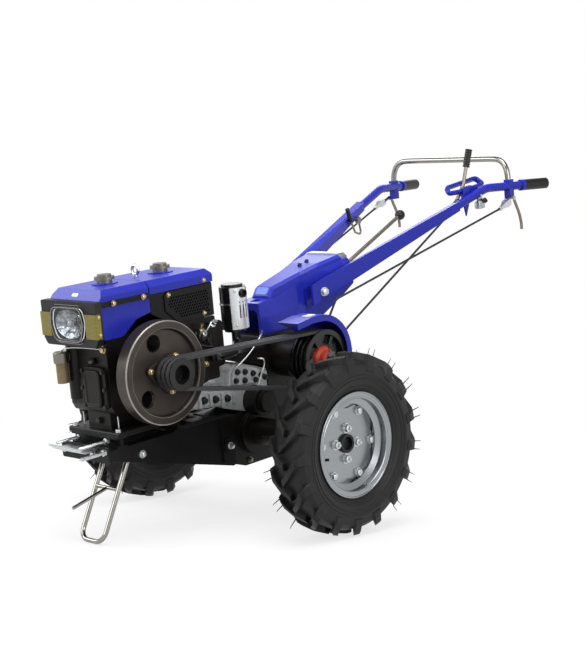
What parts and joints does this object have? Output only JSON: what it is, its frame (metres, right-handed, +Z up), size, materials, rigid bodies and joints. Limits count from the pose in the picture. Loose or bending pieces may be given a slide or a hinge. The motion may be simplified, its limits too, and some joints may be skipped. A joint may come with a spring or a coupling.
{
  "type": "walking tractor",
  "caption": "Walking tractor with a blue tank and handles, a belt-driven diesel engine, lugged tyres and a folding front stand.",
  "frame": {"origin": "centre of the bounding box's underside, on the ground", "axes": "+X forward, the way the machine travels; +Y to the machine's left, the flywheel side; +Z up"},
  "size_m": [2.0676, 1.086, 1.2484],
  "materials": {
    "blue_paint": "glossy royal blue enamel",
    "black_paint": "satin black enamel",
    "cast_aluminium": "as cast",
    "cast_iron": "dark casting with a machined rim",
    "silver_paint": "silver enamel",
    "zinc_steel": "zinc plated",
    "chrome": "bright plated",
    "tyre_rubber": "new rubber",
    "belt_rubber": "matte",
    "black_plastic": "moulded",
    "clear_lens": "clear",
    "amber_lens": "amber",
    "filter_paint": "tan enamel",
    "orange_paint": "orange red enamel"
  },
  "bodies": {
    "chassis": {"frame_rails": "black_paint", "front_crossmember": "black_paint", "tow_plate": "zinc_steel", "engine_bearers": "black_paint", "gearbox": "black_paint", "gear_housing": "cast_aluminium", "rear_hitch": "black_paint", "crankcase": "black_paint", "crankcase_cover": "black_paint", "timing_cover": "black_paint", "cylinder_head": "black_paint", "muffler": "black_paint", "muffler_shield": "silver_paint", "air_cleaner": "black_paint", "fuel_filter": "filter_paint", "fuel_tank": "blue_paint", "tank_bands": "black_paint", "radiator": "black_paint", "radiator_grilles": "black_paint", "hood": "blue_paint", "filler_caps": "zinc_steel", "lifting_eye": "zinc_steel", "lamp_housing": "black_plastic", "lamp_lens": "clear_lens", "side_lamps": "amber_lens", "drive_belts": "belt_rubber", "belt_guard": "blue_paint", "console": "blue_paint", "console_strap": "zinc_steel", "handle_arms": "blue_paint", "handlebars": "blue_paint", "hand_grips": "black_plastic", "arch_bar": "chrome", "steering_levers": "zinc_steel", "control_rods": "zinc_steel", "clutch_lever": "zinc_steel", "gear_lever": "zinc_steel", "throttle_lever": "zinc_steel", "stand_pin": "zinc_steel"},
    "left_wheel": {"left_tyre": "tyre_rubber", "left_rim": "silver_paint", "left_axle": "black_paint"},
    "right_wheel": {"right_tyre": "tyre_rubber", "right_rim": "silver_paint", "right_axle": "black_paint"},
    "crank": {"flywheel": "cast_iron", "crank_pulley": "black_paint"},
    "clutch": {"clutch_pulley": "black_paint", "clutch_hub": "orange_paint"},
    "front_stand": {"stand": "chrome"}
  },
  "joints": [
    {"name": "left_wheel_spin", "type": "hinge", "parent": "chassis", "child": "left_wheel", "pos_m": [0.27817, 0.473, 0.292], "axis": [0, 1, 0], "continuous": true},
    {"name": "right_wheel_spin", "type": "hinge", "parent": "chassis", "child": "right_wheel", "pos_m": [0.27817, -0.473, 0.292], "axis": [0, 1, 0], "continuous": true},
    {"name": "flywheel_spin", "type": "hinge", "parent": "chassis", "child": "crank", "pos_m": [0.78668, 0.183, 0.53585], "axis": [0, 1, 0], "continuous": true},
    {"name": "clutch_spin", "type": "hinge", "parent": "chassis", "child": "clutch", "pos_m": [0.14778, 0.243, 0.5347], "axis": [0, 1, 0], "continuous": true},
    {"name": "stand_fold", "type": "hinge", "parent": "chassis", "child": "front_stand", "pos_m": [0.81056, 0, 0.27902], "axis": [0, 1, 0], "range_deg": [0, 105]}
  ],
  "couplings": [
    {"joint": "clutch_spin", "follows": "flywheel_spin", "ratio": 0.4737}
  ]
}
